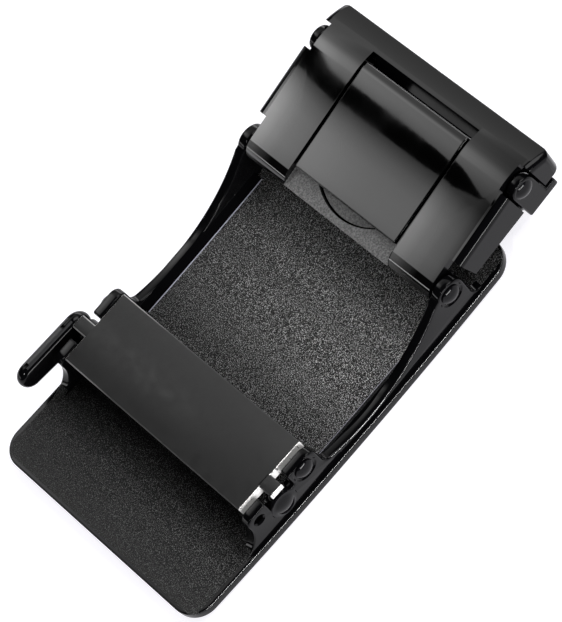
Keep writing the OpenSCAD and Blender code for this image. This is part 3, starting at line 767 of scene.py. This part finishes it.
def crowned(name, middle, half, height, painted_light):
    """Polished black for panels that stand up a little in the middle. With t the distance from the
    panel's middle over its half width, its height falls by the square of t, and a faint painted
    light, a lighter base colour, grows towards the panel's +Y side at its hinge end. Where middle
    isn't 0, a panel lies on each side of Y = 0, and the pattern repeats from one to the other."""
    black = (0.001, 0.001, 0.0012)
    beyond = 100
    repeat = 2 * middle if middle else beyond
    finish = add_finish(name, black, 0.02)
    nodes, shader = finish.nodes, finish.shader
    mapping, _, fine = grain(finish, 450, 4, 0.002, 0.0002)
    vary_roughness(finish, mapping, 160, 0.015, 0.035)
    split = add_node(nodes, "ShaderNodeSeparateXYZ", {})
    shift = add_node(nodes, "ShaderNodeMath", {1: (middle + half) / 1000}, "ADD")
    wrap = add_node(nodes, "ShaderNodeMath", {1: repeat / 1000}, "FLOORED_MODULO")
    share = add_range(nodes, 0.0, 2 * half / 1000)
    offset = add_node(nodes, "ShaderNodeMath", {1: 0.5}, "SUBTRACT")
    square = add_node(nodes, "ShaderNodeMath", {}, "MULTIPLY")
    crown = add_node(nodes, "ShaderNodeBump", {"Strength": 1.0, "Distance": 4 * height / 1000})
    crown.invert = True
    # Painted light: the base colour lightens near the panel's +Y edge, more so at the hinge end.
    tone = add_ramp(nodes, [(0.0, black)] + [(at, black[0] + level * painted_light) for at, level in (
        (0.4, 0.0), (0.68, 0.33), (0.85, 0.78), (0.98, 1.0))] + [(1.0, black)])
    to_hinge = add_range(nodes, 0.0325, 0.0265)
    painted_light_tone = add_node(nodes, "ShaderNodeVectorMath", {}, "SCALE")
    join(finish.links, (mapping.outputs["Vector"], split.inputs[0]),
         (split.outputs["Y"], shift.inputs[0]),
         (shift.outputs[0], wrap.inputs[0]),
         (wrap.outputs[0], share.inputs["Value"]),
         (share.outputs[0], offset.inputs[0]),
         (offset.outputs[0], square.inputs[0]),
         (offset.outputs[0], square.inputs[1]),
         (square.outputs[0], crown.inputs["Height"]),
         (fine.outputs["Normal"], crown.inputs["Normal"]),
         (crown.outputs["Normal"], shader.inputs["Normal"]),
         (share.outputs[0], tone.inputs["Fac"]),
         (split.outputs["X"], to_hinge.inputs["Value"]),
         (tone.outputs["Color"], painted_light_tone.inputs[0]),
         (to_hinge.outputs[0], painted_light_tone.inputs["Scale"]),
         (painted_light_tone.outputs[0], shader.inputs["Base Color"]))
    return finish.material


def rough_bar():
    """The crossbar's coarse matt grain, with painted shade along the scoop's outline: a dark ring
    without sheen, a band of the distance from the scoop's middle, measured along the sloping bar."""
    scoop_x, bar_stretch = 0.02966, 1.0223
    finish = add_finish("rough_bar", (0.07, 0.07, 0.07), 0.4)
    nodes, shader = finish.nodes, finish.shader
    mapping, noise, _ = grain(finish, 4200, 3, 1.0, 0.00012)
    tone = add_ramp(nodes, [(0.36, 0.04), (0.7, 0.2)])
    from_scoop = add_node(nodes, "ShaderNodeVectorMath", {1: (scoop_x, 0, 0)}, "SUBTRACT")
    flat = add_node(nodes, "ShaderNodeVectorMath", {1: (bar_stretch, 1, 0)}, "MULTIPLY")
    distance = add_node(nodes, "ShaderNodeVectorMath", {}, "LENGTH")
    # Painted shade: a thin dark ring without sheen along the scoop's outline.
    shade_ring_start = add_range(nodes, 0.00895, 0.00900)
    shade_ring_end = add_range(nodes, 0.00932, 0.00937)
    ring = add_node(nodes, "ShaderNodeMath", {}, "SUBTRACT")
    keep = add_node(nodes, "ShaderNodeMath", {0: 1.0}, "SUBTRACT")
    shaded_tone = add_node(nodes, "ShaderNodeVectorMath", {}, "SCALE")
    join(finish.links, (noise.outputs[0], tone.inputs["Fac"]),
         (mapping.outputs["Vector"], from_scoop.inputs[0]),
         (from_scoop.outputs[0], flat.inputs[0]),
         (flat.outputs[0], distance.inputs[0]),
         (distance.outputs["Value"], shade_ring_start.inputs["Value"]),
         (distance.outputs["Value"], shade_ring_end.inputs["Value"]),
         (shade_ring_start.outputs[0], ring.inputs[0]),
         (shade_ring_end.outputs[0], ring.inputs[1]),
         (ring.outputs[0], keep.inputs[1]),
         (tone.outputs["Color"], shaded_tone.inputs[0]),
         (keep.outputs[0], shaded_tone.inputs["Scale"]),
         (shaded_tone.outputs[0], shader.inputs["Base Color"]),
         (keep.outputs[0], shader.inputs["Specular IOR Level"]))
    return finish.material


# The last number is the strength of each panel's painted light.
arm_black = crowned("arm_black", 14.1, 4.0, 0.035, 0.1)
flap_black = crowned("flap_black", 0, 9.65, 0.0, 0.03)
bar_rough = rough_bar()
for node, name, width, body, finish, slot in (
        ("clamp_frame", "clamp_frame_cast", 0.6, "clamp", arm_black, "gunmetal_gloss"),
        ("clamp_bracket", "clamp_bracket_cast", 0.3, "clamp", gloss_black, "black_casting"),
        ("clamp_flap", "clamp_flap_cast", 0.22, "flap", flap_black, "gunmetal_gloss")):
    is_frame = node == "clamp_frame"
    piece = eased(node, name, width, is_frame)
    coat(piece, finish, bar_rough, gloss_black)
    piece.data.polygons.foreach_set("material_index", np.zeros(len(piece.data.polygons), int))
    if is_frame:
        for face in piece.data.polygons:
            at, way = face.center * 1000, face.normal
            on_bar = abs(at.y) < 10.0 and at.x < 26.5 and at.z < 9.4 and way.z > 0.6
            on_rail = abs(way.y) > 0.2 and abs(at.y) > 17
            face.material_index = 1 if on_bar else 2 * on_rail
    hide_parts(node)
    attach(piece, body)
